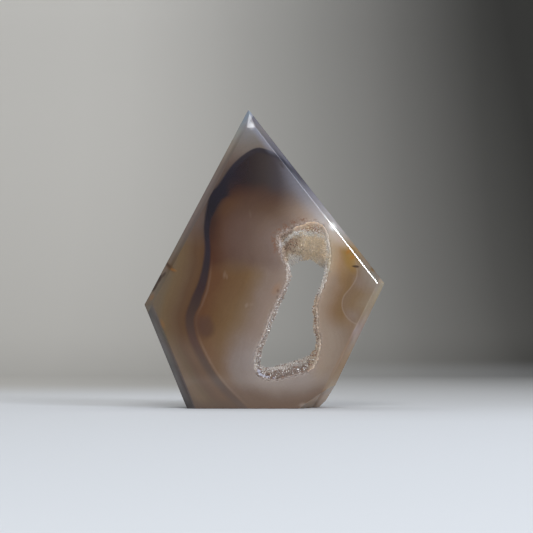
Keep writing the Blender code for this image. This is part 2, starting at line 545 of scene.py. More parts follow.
# The thin line around the lobe near the right edge
LOBE_LINE = (
    (24.5, 51), (27.2, 45), (27.8, 40), (26.2, 36.7), (23.7, 33.5), (23.3, 30.2), (24.8, 27.3),
    (27, 25.6), (30, 24.6),
)

# The band's width by height: outside, its full strength ends at one distance from the line and it
# has faded at the other, and so inside. Then a pale line along its inside, and its colours.
BAND_OUTER = ((0, 0.3), (14, 0.5), (20, 0.9), (25, 1), (36, 0.9), (48, 0.4), (66, 0.35), (78, 0.4))
BAND_FADE = (
    (0, 1.8), (20, 2.1), (25, 2.2), (36, 1.9), (42, 1.7), (48, 1.5), (54, 1.3), (66, 1.4), (72, 1.1),
    (78, 0.9),
)
BAND_INNER = (
    (0, 0.6), (14, 1.1), (27, 1.5), (31, 2.1), (35, 2), (38, 1.6), (50, 1), (57, 1.6), (61, 3.4),
    (64, 4.6), (67, 2.4), (70, 1.2),
)
BAND_INNER_START = (
    (0, 0), (14, 0.3), (27, 0.4), (31, 1.2), (35, 0.8), (42, 0.6), (50, 0.3), (57, 0.5), (64, 2.4),
    (68, 0.4),
)
BAND_PALE = ((1, 0), (6, 0.1), (18, 0.12), (22, 0.03), (28, 0.02), (31, 0.07), (38, 0.07), (46, 0))
BAND_COLOURS = (
    (0, 98, 69, 58), (4, 92, 60, 47), (8, 86, 59, 46), (14, 80, 53, 41), (20, 69, 36, 27),
    (25, 50, 27, 20), (30, 37, 19, 14), (36, 25, 11, 12), (42, 19, 11, 14), (48, 15, 9, 15),
    (60, 5, 3, 8), (70, 7, 5, 12), (74, 14, 10, 16), (77, 20, 15, 20),
)

# How far the layers drift across the stone from its front face to its back
SLANT_X = 0.11
SLANT_Z = -0.08


def smooth_line(corners, steps=10):
    """Points of a Catmull-Rom curve through the corners, as an array."""
    corners = [Vector(corner) for corner in corners]
    ends = [2 * corners[0] - corners[1], *corners, 2 * corners[-1] - corners[-2]]
    points = []
    for a, b, c, d in zip(ends, ends[1:], ends[2:], ends[3:]):
        for i in range(steps):
            t = i / steps
            pull = (2 * a - 5 * b + 4 * c - d) * t**2 + (3 * b - a - 3 * c + d) * t**3
            points.append((2 * b + (c - a) * t + pull) / 2)
    return np.array([*points, corners[-1]])


def side_of_line(points, line):
    """The distance from each point to a line: positive on the right of its course, in mm."""
    start = line[:-1]
    along = line[1:] - start
    reach = points[:, None, :] - start[None, :, :]
    share_along = (reach * along).sum(2) / (along**2).sum(1)
    miss = reach - np.clip(share_along, 0, 1)[:, :, None] * along
    distance = np.sqrt((miss**2).sum(2))
    nearest = distance.argmin(1)
    rows = np.arange(len(points))
    turn = along[nearest, 0] * reach[rows, nearest, 1] - along[nearest, 1] * reach[rows, nearest, 0]
    return distance[rows, nearest] * -np.sign(turn)


def store(mesh, name, values):
    """Stores one number for each vertex, which the material reads."""
    mesh.attributes.new(name, "FLOAT", "POINT").data.foreach_set("value", values)


def coordinates(mesh):
    """The vertices of a mesh as an array."""
    flat = np.zeros(len(mesh.vertices) * 3, np.float32)
    mesh.vertices.foreach_get("co", flat)
    return flat.reshape(-1, 3).astype(float)


def chart_layers(mesh):
    """Stores how far each vertex lies from the cavity's rim, the dark band and the lobe."""
    wall = rock_wall(WALL_COARSE)
    tree = BVHTree.FromBMesh(wall)
    wall.free()
    rim = [tree.find_nearest(vert.co)[3] / MM for vert in mesh.vertices]
    x, y, z = coordinates(mesh).T / MM
    depth = y + HALF_THICKNESS / MM
    flat = np.stack((x + SLANT_X * depth, z + SLANT_Z * depth), 1)
    store(mesh, "rim", rim)
    store(mesh, "band", side_of_line(flat, smooth_line(BAND_LINE)))
    store(mesh, "lobe", -side_of_line(flat, smooth_line(LOBE_LINE)))


# The facet at the lower right corner meets the polished front along this line
TOE_EDGE = ((10.0, 0.0), (18.4, 5.7))


def outline_edges():
    """Each bevelled edge of the outline: its outward normal and reach, and its two ends, in mm."""
    slab = merged_copy(SLAB_NODE)
    spots = [Vector((vert.co.x, vert.co.z)) / MM for vert in slab.verts]
    slab.free()
    tip = max(spots, key=lambda spot: spot.y)
    right = max(spots, key=lambda spot: spot.x)
    left = min(spots, key=lambda spot: spot.x)
    toe = max((spot for spot in spots if spot.y < right.y - 1), key=lambda s: s.x - s.y)
    foot = min((spot for spot in spots if spot.y < 0.01), key=lambda spot: spot.x)
    edges = {}
    runs = {"upper_right": (tip, right), "lower_right": (right, toe)}
    runs.update({"lower_left": (foot, left), "upper_left": (left, tip)})
    for name, (here, there) in runs.items():
        ahead = (there - here).normalized()
        out = Vector((-ahead.y, ahead.x))
        edges[name] = ((out, out.dot(here)), (here, there))
    low, high = TOE_EDGE
    ahead = (Vector(high) - Vector(low)).normalized()
    out = Vector((ahead.y, -ahead.x))
    edges["toe"] = ((out, out.dot(Vector(low))), (Vector(low), Vector(high)))
    return edges


# The light that gathers along the upper right edge by height: how far in it reaches, how strong
# it is, and its colours further in and at the edge
LIGHT_WIDTH = ((44, 4), (48, 6), (52, 8), (56, 12.5), (60, 12), (64, 8), (68, 5), (73, 2.6), (80, 2.2))
LIGHT_STRENGTH = (
    (37, 0.7), (42, 0.6), (45, 0.1), (47, 0.05), (49, 0.35), (52, 0.5), (57, 0.75), (60, 0.6),
    (64, 0.44), (68, 0.36), (72, 0.25), (74.5, 0.05), (76, 0.1), (77.5, 0.45), (79, 0.6), (84, 0.5),
    (87, 0),
)
LIGHT_INNER = (
    (42, 185, 142, 102), (46, 400, 300, 190), (50, 450, 360, 270), (56, 430, 330, 260),
    (60, 370, 290, 240), (64, 290, 260, 260), (70, 250, 240, 270),
)
LIGHT_OUTER = (
    (42, 212, 182, 155), (46, 400, 310, 200), (50, 520, 460, 420), (56, 460, 430, 420),
    (60, 400, 390, 410), (64, 350, 360, 410), (70, 290, 290, 350), (78, 240, 250, 320),
)

# What the stone's colours are multiplied by near its foot, by height
FOOT_TINT = ((2, 920, 860, 760), (14, 1000, 1000, 1000))

# The stone's layers on the polished front. Each is a run of colours by distance in millimetres:
# the inner ones and those on the right from the cavity's rim outwards, the rind's from the dark
# band outwards, the lobe's from its line inwards, the smoke's from left to right and the tip's by
# height. Here and in the other tables of colours, a row is a place and a colour in thousandths.
LAYERS = {
    "upper": (
        (0, 190, 140, 115), (3, 150, 103, 84), (6, 128, 83, 64), (9, 107, 65, 48), (12, 91, 51, 36),
        (15, 78, 38, 24), (18, 64, 23, 9), (21, 50, 13, 4),
    ),
    "waist": (
        (0, 232, 172, 138), (3, 200, 144, 114), (5.5, 180, 128, 100), (8, 153, 100, 62),
        (11, 127, 71, 30), (15, 106, 53, 19), (19, 88, 35, 12),
    ),
    "lower": (
        (0, 245, 205, 188), (3.5, 214, 172, 155), (5.5, 196, 157, 138), (7, 180, 134, 112),
        (8.5, 160, 107, 76), (10.5, 144, 88, 51), (14, 132, 70, 38),
    ),
    "right_upper": (
        (0, 340, 255, 170), (3, 262, 165, 93), (6, 218, 136, 66), (9, 165, 96, 40),
    ),
    "right_waist": (
        (0, 290, 215, 160), (2, 232, 166, 118), (4, 196, 126, 78), (5.5, 166, 99, 50), (7, 155, 90, 39),
        (9, 180, 108, 55),
    ),
    "right_lower": (
        (0, 262, 200, 155), (3, 238, 182, 140), (6, 202, 150, 112), (9, 176, 122, 85),
        (12, 190, 135, 95),
    ),
    "lobe": (
        (0, 158, 100, 60), (3, 163, 104, 56), (6, 192, 138, 90), (9, 236, 188, 138),
    ),
    "rind_upper": (
        (0, 50, 34, 28), (2, 84, 55, 44), (5, 108, 76, 62), (9, 120, 90, 74),
    ),
    "rind_waist": (
        (0, 58, 25, 13), (1.5, 78, 36, 14), (2.6, 85, 42, 18), (3.6, 81, 41, 19), (5, 96, 55, 28),
        (7, 108, 66, 32), (8.5, 114, 73, 36), (10, 110, 78, 48), (13, 112, 84, 58),
    ),
    "rind_lower": (
        (0, 92, 60, 46), (1.4, 104, 65, 45), (2.4, 120, 74, 48), (3.4, 112, 69, 46), (4.4, 106, 67, 45),
        (5.6, 114, 78, 51), (7, 134, 93, 63), (8, 138, 97, 66), (10, 112, 78, 57),
    ),
    "smoke": (
        (-14, 8, 6, 12), (-9, 8, 4, 9), (-6, 13, 6, 8), (-3, 20, 12, 12), (0, 30, 21, 20),
        (3, 40, 31, 34), (7, 54, 46, 52),
    ),
    # Towards the point the tip pales and turns bluish: a painted sheen of reflected light over the
    # stone's brown.
    "tip": (
        (74, 112, 80, 64), (79, 138, 114, 98), (82, 150, 137, 130), (84.5, 178, 174, 184),
        (87, 150, 165, 195), (90, 80, 105, 150),
    ),
}

# Colours of the bevels by height, from the base up, in thousandths: each row has a height, the
# colour at the outline and the colour at the front face. These are partly the stone seen through
# each bevel and partly painted light: the pale rows beside the star on the upper right, the pale
# and bluish rows near the tip and the pale lowest row of the lower right by the toe. Then how wide
# each bevel is painted.
BEVELS = {
    "upper_right": (
        (37, 150, 126, 105, 161, 143, 117), (40, 150, 126, 105, 161, 143, 117),
        (44, 167, 128, 94, 151, 120, 87), (48, 222, 146, 72, 184, 108, 30),
        (51, 250, 212, 180, 245, 215, 170), (53.5, 285, 272, 275, 298, 300, 282),
        (58.5, 268, 257, 266, 254, 235, 237), (64, 172, 166, 192, 172, 163, 190),
        (69.3, 52, 48, 63, 89, 90, 112), (72, 50, 48, 66, 34, 34, 48),
        (74.6, 100, 100, 130, 18, 18, 34), (77, 112, 108, 130, 75, 73, 92),
        (80, 108, 103, 119, 98, 94, 111), (84, 147, 133, 135, 130, 117, 117),
        (88, 111, 111, 140, 96, 96, 130),
    ),
    "lower_right": (
        (3, 460, 310, 190, 240, 110, 35), (6.4, 300, 240, 180, 185, 128, 85),
        (9.2, 240, 170, 112, 196, 138, 93), (12.8, 230, 150, 86, 215, 146, 100),
        (16.3, 248, 170, 108, 212, 142, 96), (19.9, 241, 185, 145, 210, 138, 92),
        (23.4, 262, 193, 168, 235, 175, 158), (27, 270, 210, 160, 232, 166, 115),
        (30.5, 250, 187, 125, 245, 193, 128), (33.3, 280, 222, 146, 252, 195, 133),
        (37, 290, 246, 176, 243, 196, 155),
    ),
    "lower_left": (
        (0.5, 40, 31, 30, 60, 46, 40), (3.7, 85, 76, 74, 63, 48, 44), (6.2, 103, 90, 86, 60, 43, 40),
        (9.4, 105, 94, 91, 66, 47, 44), (12.5, 82, 75, 70, 68, 52, 46), (15.6, 107, 99, 90, 80, 60, 52),
        (18.7, 116, 101, 101, 80, 56, 44), (21.8, 106, 92, 85, 77, 64, 47),
        (25, 95, 85, 78, 77, 58, 47), (27.5, 76, 68, 62, 86, 68, 60), (31, 62, 52, 45, 105, 80, 62),
    ),
    "upper_left": (
        (31, 130, 96, 68, 128, 98, 70), (38, 135, 105, 80, 112, 84, 58), (43, 130, 90, 64, 88, 52, 25),
        (49, 138, 112, 90, 104, 76, 58), (55, 145, 110, 100, 105, 77, 67),
        (61, 148, 118, 106, 106, 78, 70), (67, 142, 112, 104, 100, 73, 64),
        (73, 155, 124, 104, 106, 77, 66), (79, 225, 188, 155, 143, 116, 96),
        (83, 235, 232, 212, 175, 165, 160), (88, 190, 230, 280, 260, 270, 310),
    ),
}
BEVEL_PAINT = {"upper_right": RIGHT_BEVEL, "lower_right": 2.0, "lower_left": 2.6, "upper_left": 2.2}
BEVEL_SOFT = 0.15
BEVEL_COVER = 0.95

# The grinding marks of the lower left bevel: their stretch, their turn in radians, their grain,
# the tones they multiply the stone by and how much of that shows
MARK_STRETCH = (1.6, 1.0, 1.0)
MARK_TURN = 0.9
MARK_GRAIN = (5.0, 1.0, 0.7)
MARK_TONES = ((0.72, 0.72, 0.72), (1.30, 1.29, 1.28))
MARK_COVER = 0.8

# How noise bends the clouds and layers: its scales, and how far it moves them in mm
DRIFT_SCALE = 0.13
DRIFT = 3.5
WANDER_SCALE = 0.2
HEART_SWAY = 2.5
EDGE_SWAY = 1.5
FOOT_SWAY = 3
SMOKE_SWAY = 4

# The fine streaks along the layers, as scales across and along them, and the sway and offset of
# those that follow the rim and those that follow the band
STREAK_ACROSS = 1.3
STREAK_ALONG = 0.06
RING_SWAY = 4
VEIN_SWAY = 2
VEIN_OFFSET = 9.0
GRAIN_SCALE = 1.5
SUGAR_CELLS = 2.6
SUGAR_CLUMPS = 0.5

# What the layers round the cavity are multiplied by, and the murk below the band, by height
HEART_TINT = (
    (50, 1000, 1000, 1000), (56, 930, 900, 850), (60, 760, 680, 540), (65, 660, 560, 460),
)
MURK = ((56, 22, 8, 6), (64, 16, 10, 12))
MOTTLE_TONES = ((0.86, 0.85, 0.84), (1.14, 1.15, 1.16))
# Painted light: the facet at the lower right corner faces down and is painted pale, standing in for the
# bright floor it faces.
TOE_PAINTED_LIGHT = (0.390, 0.275, 0.190)
RIND_FOOT_COLOUR = (0.092, 0.062, 0.047)
BROWN_GRAIN = (0.165, 0.080, 0.050)
WHITE_GRAIN = (0.440, 0.370, 0.320)
LEFT_GRAIN = (0.345, 0.285, 0.260)

# Where the colours of the stone's front lie, bounded across and up the front, by the distances
# from the rim, the band and the lobe, and by what Agate works out from them
STONE_PLACES = {
    "waist": (1, ("up", 14, 25, "wander", 4)),
    "upper": (1, ("up", 39.5, 44.5, "wander", 3)),
    "rise": (3.2, ("across", -10, 4), ("across", 19, 10)),
    "foot": (1, ("low", 10.5, 4.5)),
    "right_upper": (1, ("up", 38, 44)),
    "right_lower": (1, ("up", 29, 22)),
    "lobe": (1, ("lobe", -0.1, 0.1)),
    "right": (1, ("across", 12, 17, "wander", 2), ("up", 4, 13), ("up", 58, 52)),
    "toe": (1, ("toe", 0.15, -0.15)),
    "murk": (0.8, ("band", -5.5, -0.5), ("up", 44, 57)),
    "slant": (1.6, ("across", -8, 2)),
    "smoke": (1, ("height", 62.3, 70.3)),
    "rind": (1, ("band", -0.3, 0.3)),
    "rind_lower": (1, ("up", 25, 15, "wander", 4)),
    "rind_upper": (1, ("up", 47, 57, "wander", 4)),
    "tip": (1, ("up", 71, 78, "wander", 3)),
    "rind_foot": (0.8, ("up", 4, 0)),
    "band_line": (1, ("beyond", -0.4, 0), ("beyond", 0.7, 0.2)),
    "lobe_line": (0.21, ("lobe", 0.3, 0.1), ("lobe", -0.3, -0.1), ("up", 49, 40), ("across", 21, 23)),
    "light_edge": (1, ("inside", 5.5, 0.5)),
    "grains": (1, ("up", 43, 49), ("across", 18.5, 16)),
    "grains_narrow": (1.4, ("across", 11, 13.5)),
    "brown_grains": (
        0.8, ("reach", 2.9, 1.5), ("rim", 0.1, 0.6), ("clumps", 0.38, 0.54), ("brown", 0.25, 0.65),
    ),
    "white_grains": (0.5, ("rim", 1.3, 0.3), ("white", 0.4, 0.9)),
    "left_grains": (
        0.6, ("up", 42, 44), ("up", 49, 47), ("across", 6, 5.5), ("rim", 1, 0.5), ("white", 0.1, 0.8),
    ),
}

# Stains and clouds on the polished front, with a painted highlight on the tip among the marks, in
# millimetres. Each is an ellipse, turned clockwise by degrees, with how soft its edge is and how
# strong it is. Noise bends the clouds, not the marks.
Patch = namedtuple("Patch", "colour x z across up turn soft strength")

CLOUDS = (
    Patch("mauve", -8.0, 53.0, 4.5, 8.0, 15, 0.9, 0.25),
    Patch("umber", 0.5, 63.0, 6.0, 2.6, 20, 0.9, 0.35),
    Patch("amber", -11.0, 61.0, 4.0, 2.6, -30, 0.9, 0.25),
    Patch("olive", -9.0, 42.3, 4.5, 2.2, 0, 0.8, 0.3),
    Patch("amber", -9.5, 34.5, 5.0, 4.0, 0, 0.9, 0.35),
    Patch("olive", -7.0, 29.0, 3.6, 6.0, 10, 0.9, 0.3),
    Patch("umber", -17.9, 24.5, 2.4, 3.1, 0, 0.45, 0.8),
    Patch("umber", -20.0, 25.0, 1.6, 3.6, -15, 0.8, 0.55),
    Patch("amber", -15.0, 15.5, 1.4, 5.5, -35, 0.9, 0.2),
    Patch("halo", -3.5, 13.0, 3.5, 9.0, 18, 0.9, 0.12),
    Patch("halo", 30.3, 38.6, 2.6, 2.6, 0, 0.9, 0.45),
    Patch("halo", 27.2, 28.4, 1.8, 1.5, 0, 0.9, 0.4),
    Patch("ochre", 25.6, 45.6, 2.0, 3.8, -32, 0.7, 0.9),
    Patch("ochre", 23.5, 40.0, 1.5, 3.0, 0, 0.9, 0.2),
)
MARKS = (
    Patch("iron", 3.5, 35.8, 0.9, 1.7, 30, 0.9, 0.22),
    Patch("umber", 4.0, 35.3, 0.35, 0.5, 0, 0.9, 0.5),
    Patch("umber", 3.8, 33.5, 0.3, 0.4, 0, 0.9, 0.4),
    # A painted highlight: a pale lens on the tip facet, over the facet's own reflection.
    Patch("white", -3.9, 85.1, 0.8, 0.9, 0, 0.8, 0.3),
    Patch("olive", 32.6, 41.8, 0.8, 0.7, 0, 0.7, 0.95),
    Patch("shell", -12.0, 40.1, 0.35, 0.9, 10, 1.0, 0.16),
    Patch("shell", -11.3, 39.5, 0.25, 0.6, 0, 1.0, 0.14),
    Patch("shell", -5.4, 30.9, 0.4, 0.6, 20, 1.0, 0.22),
    Patch("shell", -3.9, 31.2, 0.6, 0.4, 0, 1.0, 0.1),
    Patch("shell", -4.3, 58.4, 0.3, 1.0, -10, 1.0, 0.06),
    Patch("iron", 25.3, 47.2, 0.5, 0.9, 40, 0.8, 0.6),
    Patch("iron", 26.4, 45.4, 0.45, 0.9, 40, 0.8, 0.6),
    Patch("soot", 27.5, 42.6, 0.95, 0.34, 4, 0.4, 0.9),
    Patch("soot", 26.6, 42.7, 0.4, 0.22, 0, 0.6, 0.5),
    Patch("blush", 27.4, 23.2, 0.6, 2.6, 10, 0.9, 0.1),
    Patch("shell", 11.6, 1.1, 1.1, 0.55, 0, 0.8, 0.4),
    Patch("soot", -33.0, 36.6, 0.5, 1.6, 30, 0.5, 0.95),
    Patch("soot", -31.7, 38.9, 0.6, 1.5, 28, 0.5, 0.97),
    Patch("soot", -30.3, 40.2, 0.35, 0.9, 35, 0.6, 0.8),
    Patch("iron", -33.9, 33.4, 0.5, 0.9, 28, 0.8, 0.3),
    Patch("rust", -28.5, 42.5, 0.6, 1.8, -44, 0.6, 0.9),
    Patch("soot", -29.0, 43.0, 0.3, 1.0, -42, 0.7, 0.7),
    Patch("iron", -27.4, 41.6, 0.35, 0.9, -70, 0.7, 0.4),
    Patch("iron", -30.6, 25.4, 0.5, 1.2, -20, 0.9, 0.2),
    Patch("soot", 5.3, 73.0, 0.3, 1.0, -38, 0.9, 0.5),
)
# Painted light where the upper right edge flares: a soft pinkish painted glow, and over it a white
# painted highlight, the star.
PAINTED_GLOW = Patch("blush", 20.0, 54.4, 4.0, 2.2, 52, 1.0, 0.25)
PAINTED_STAR = Patch("white", 20.5, 54.7, 1.0, 0.75, 52, 1.0, 0.95)


class Agate(Shading):
    """The stone's material: layers from rind to cavity, the dark band, stains, fine grain and painted
    light.
    """

    def __init__(self, stone, edges):
        super().__init__("polished_agate", STONE_PLACES)
        self.stone = stone
        self.edges = edges
        self.spot = self.place()
        x, y, z = self.parts(self.spot)
        depth = y + HALF_THICKNESS / MM
        self.across = x + SLANT_X * depth
        self.up = z + SLANT_Z * depth
        self.layers = self.join(self.across, y, self.up)
        self.rim, self.band, self.lobe = map(self.attribute, ("rim", "band", "lobe"))
        broad = self.noise(self.layers, DRIFT_SCALE, 2.0, "Color")
        drift = self.vector("SUBTRACT", broad, (0.5, 0.5, 0.5))
        self.bent = self.vector("ADD", self.layers, self.vector("SCALE", drift, Scale=DRIFT))
        self.wander = self.noise(self.layers, WANDER_SCALE, 3.0) - 0.5
        self.toe = self.inset("toe")

    def tone(self, name):
        """A colour of the stone's settings."""
        return tuple(getattr(self.stone, name))

    def layer(self, name, distance):
        """The colours of a run of layers at a distance."""
        return self.tones(distance, LAYERS[name])

    def over(self, colour, name, distance):
        """A run of layers over a colour, in the place of the same name."""
        return self.mix(self.within(name), colour, self.layer(name, distance))

    def inset(self, name):
        """How far a place lies inside one edge of the outline, in mm."""
        normal, reach = self.edges[name][0]
        out = self.vector("DOT_PRODUCT", self.spot, (normal.x, 0, normal.y), "Value")
        return reach - out

    def patch(self, patch, place):
        """The mask of a stain or cloud."""
        values = {
            "Vector": place,
            "Location": (patch.x, 0.0, patch.z),
            "Rotation": (0.0, math.radians(patch.turn), 0.0),
            "Scale": (patch.across, 1000.0, patch.up),
        }
        inner = self.node("ShaderNodeMapping", {"vector_type": "TEXTURE"}, values)
        away = self.vector("LENGTH", inner, None, "Value")
        return self.step(away, 1 + patch.soft, 1 - patch.soft) * patch.strength

    def stain(self, colour, patch, place):
        """A colour with a stain or cloud over it."""
        return self.mix(self.patch(patch, place), colour, self.tone(patch.colour))

    def heart(self):
        """The layers between the cavity and the dark band."""
        reach = self.rim + self.wander * HEART_SWAY
        colour = self.over(self.layer("lower", reach), "waist", reach)
        colour = self.over(colour, "upper", reach)
        colour = self.mix(1.0, colour, self.tones(self.up, HEART_TINT), "MULTIPLY")
        self.low = self.up + self.wander * FOOT_SWAY + self.within("rise")
        colour = self.mix(self.within("foot"), colour, self.tone("fawn"))
        rim = self.rim + self.wander * EDGE_SWAY
        right = self.over(self.layer("right_waist", rim), "right_upper", rim)
        right = self.over(right, "right_lower", rim)
        right = self.over(right, "lobe", self.lobe)
        colour = self.mix(self.within("right"), colour, right)
        # The toe facet is painted pale: painted light in place of the light it takes from the floor.
        return self.mix(self.within("toe"), colour, TOE_PAINTED_LIGHT)

    def smoke(self, colour):
        """Dark stone under the top of the band and along its upper part."""
        self.height = self.up + self.wander * SMOKE_SWAY + self.within("slant")
        colour = self.mix(self.within("murk"), colour, self.tones(self.up, MURK))
        return self.over(colour, "smoke", self.across)

    def rind(self):
        """The layers outside the dark band."""
        band = self.band + self.wander * EDGE_SWAY
        colour = self.over(self.layer("rind_waist", band), "rind_lower", band)
        colour = self.over(colour, "rind_upper", band)
        colour = self.over(colour, "tip", self.up)
        return self.mix(self.within("rind_foot"), colour, RIND_FOOT_COLOUR)

    def dark_band(self, colour):
        """The dark band, whose width, softness and colour change from its foot to its top."""
        widths = (BAND_OUTER, BAND_FADE, BAND_INNER, BAND_INNER_START)
        outer, fade, inner, inner_start = (self.level(self.up, width) for width in widths)
        inwards = 0.0 - self.band
        self.beyond = inwards - inner
        pale = self.within("band_line") * self.level(self.up, BAND_PALE)
        colour = self.mix(pale, colour, self.tone("shell"))
        mask = self.step(self.band, fade, outer) * self.step(inwards, inner, inner_start)
        return self.mix(mask, colour, self.tones(self.up, BAND_COLOURS))

    def edge_light(self, colour):
        """Light that gathers in the stone along the upper right edge."""
        self.inside = self.inset("upper_right") - RIGHT_BEVEL
        near = self.step(self.inside, self.level(self.up, LIGHT_WIDTH), 0.0)
        inner, outer = (self.tones(self.up, tones) for tones in (LIGHT_INNER, LIGHT_OUTER))
        light = self.mix(self.within("light_edge"), inner, outer)
        return self.mix(near * self.level(self.up, LIGHT_STRENGTH), colour, light)

    def sugar(self, colour):
        """Reddish and pale grains in the stone around the top of the cavity."""
        cells = {"Vector": self.spot, "Scale": SUGAR_CELLS}
        pick = self.node("ShaderNodeTexVoronoi", {}, cells, "Color")
        split = [self.node("ShaderNodeSeparateColor", {}, {0: pick}, i) for i in range(2)]
        self.brown, self.white = split
        self.clumps = self.noise(self.spot, SUGAR_CLUMPS)
        self.reach = self.rim + self.within("grains_narrow")
        top = self.within("grains")
        colour = self.mix(self.within("brown_grains") * top, colour, BROWN_GRAIN)
        colour = self.mix(self.within("white_grains") * (0.25 + top * 0.75), colour, WHITE_GRAIN)
        return self.mix(self.within("left_grains"), colour, LEFT_GRAIN)

    def bevels(self, colour):
        """The bevels, which show the stone from other angles, partly with painted reflection and light.
        """
        values = {"Vector": self.vector("MULTIPLY", self.spot, MARK_STRETCH), "Angle": MARK_TURN}
        marks = self.node("ShaderNodeVectorRotate", {"rotation_type": "Y_AXIS"}, values)
        marks = self.noise(self.vector("MULTIPLY", marks, MARK_GRAIN), 1.0, 2.0)
        ground = self.mix(marks, *MARK_TONES)
        for name, rows in BEVELS.items():
            inset = self.inset(name)
            width = BEVEL_PAINT[name]
            mask = self.step(inset, width + BEVEL_SOFT, width - BEVEL_SOFT) * BEVEL_COVER
            outer = self.tones(self.up, [row[:4] for row in rows])
            inner = self.tones(self.up, [(row[0], *row[4:]) for row in rows])
            tone = self.mix(self.step(inset, width * 0.3, width * 0.8), outer, inner)
            if name == "lower_left":
                tone = self.mix(MARK_COVER, tone, self.mix(1.0, tone, ground, "MULTIPLY"))
            colour = self.mix(mask, colour, tone)
        return colour

    def streaks(self, distance, offset):
        """Fine noise that runs along the layers."""
        spot = self.join(distance * STREAK_ACROSS, offset, self.up * STREAK_ALONG)
        return self.noise(spot, 1.0, 3.0)

    def mottle(self, rind):
        """What the fine grain of the stone multiplies its colours by."""
        rings = self.streaks(self.rim + self.wander * RING_SWAY, 0.0)
        veins = self.streaks(self.band + self.wander * VEIN_SWAY, VEIN_OFFSET)
        values = {"Factor_Float": rind, "A_Float": rings, "B_Float": veins}
        streaks = self.node("ShaderNodeMix", {}, values, "Result_Float")
        fine = self.noise(self.layers, GRAIN_SCALE, 4.0)
        return self.mix(fine * 0.5 + streaks * 0.5, *MOTTLE_TONES)

    def painted(self):
        """The finished material."""
        colour = self.smoke(self.heart())
        for cloud in CLOUDS:
            colour = self.stain(colour, cloud, self.bent)
        rind = self.within("rind")
        colour = self.mix(rind, colour, self.rind())
        colour = self.dark_band(colour)
        colour = self.mix(1.0, colour, self.tones(self.up, FOOT_TINT), "MULTIPLY")
        colour = self.mix(self.within("lobe_line"), colour, self.tone("shell"))
        colour = self.bevels(self.sugar(self.edge_light(colour)))
        for mark in (*MARKS, PAINTED_GLOW, PAINTED_STAR):
            colour = self.stain(colour, mark, self.spot)
        colour = self.mix(1.0, colour, self.mottle(rind), "MULTIPLY")
        constants = {
            "Roughness": self.stone.polish,
            "IOR": QUARTZ_IOR,
            "Subsurface Weight": self.stone.glow,
            "Subsurface Radius": (1.0, 0.6, 0.4),
            "Subsurface Scale": 1.0 * MM,
        }
        return self.finish(constants, {"Base Color": colour})


class AGATE_OT_slab(bpy.types.Operator):
    """Makes the polished slab with its rounded edges, its chipped cavity and its bands"""

    bl_idname = "agate.slab"
    bl_label = "Carve Slab"

    def execute(self, context):
        stone = context.scene.agate_stone
        edges = outline_edges()
        body = blank(stone.edge_round)
        flat_normal = grind_flat(body, edges["upper_right"])
        for axis, step in ((0, stone.net), (2, stone.net), (1, 1.5 * stone.net)):
            slice_up(body, axis, step)
        slab = object_from(body, "polished_slab")
        plug = cavity_plug(stone.rim_chips)
        cut = slab.modifiers.new("cavity", "BOOLEAN")
        cut.operation = "DIFFERENCE"
        cut.solver = "EXACT"
        cut.object = plug
        settle(slab)
        scrap(plug)
        if len(slab.data.polygons) < len(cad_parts[SLAB_NODE].data.polygons):
            raise RuntimeError("the cavity wasn't cut into the slab")
        slab.data.shade_smooth()
        slab.data.set_sharp_from_angle(angle=math.radians(35))
        mark_flat(slab.data, flat_normal)
        flat = slab.modifiers.new("flat_faces", "WEIGHTED_NORMAL")
        flat.weight = 100
        flat.keep_sharp = True
        settle(slab)
        chart_layers(slab.data)
        slab.data.materials.clear()
        slab.data.materials.append(Agate(stone, edges).painted())
        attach(slab, "root")
        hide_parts(SLAB_NODE)
        return {"FINISHED"}


# The druzy

# How deep the crust takes to reach its full thickness, how far its hidden side is sunk in the
# stone, how its thickness varies, and how far its rims lie behind the polished faces
CRUST_RIM_DEPTH = 3.5 * MM
CRUST_BURIED = 0.2 * MM
LUMP_SIZE = 2.2 * MM
CRUST_LUMPS = 0.35
CRUST_SET_BACK = 0.03 * MM

# The crust is thicker under the ceiling, away from the front
CEILING_SAG = 1.25 * MM
SAG_HEIGHTS = (40.0 * MM, 44.5 * MM)
SAG_DEPTHS = (-7.0 * MM, -1.0 * MM)

# Smooth knobs at the lower left of the front rim: place and radius, in millimetres
KNOBS = ((-1.9, 11.2, 0.65), (-1.5, 10.0, 0.85), (-0.3, 9.7, 0.6), (0.9, 9.2, 0.7), (2.8, 8.9, 0.55))
KNOB_DEPTH = -9.1
KNOB_SHAPE = Matrix.Diagonal((1.15, 0.95, 0.9, 1.0))


def ease(value, start, end):
    """A smooth step from 0 at start to 1 at end."""
    share_along = min(max((value - start) / (end - start), 0.0), 1.0)
    return share_along**2 * (3 - 2 * share_along)


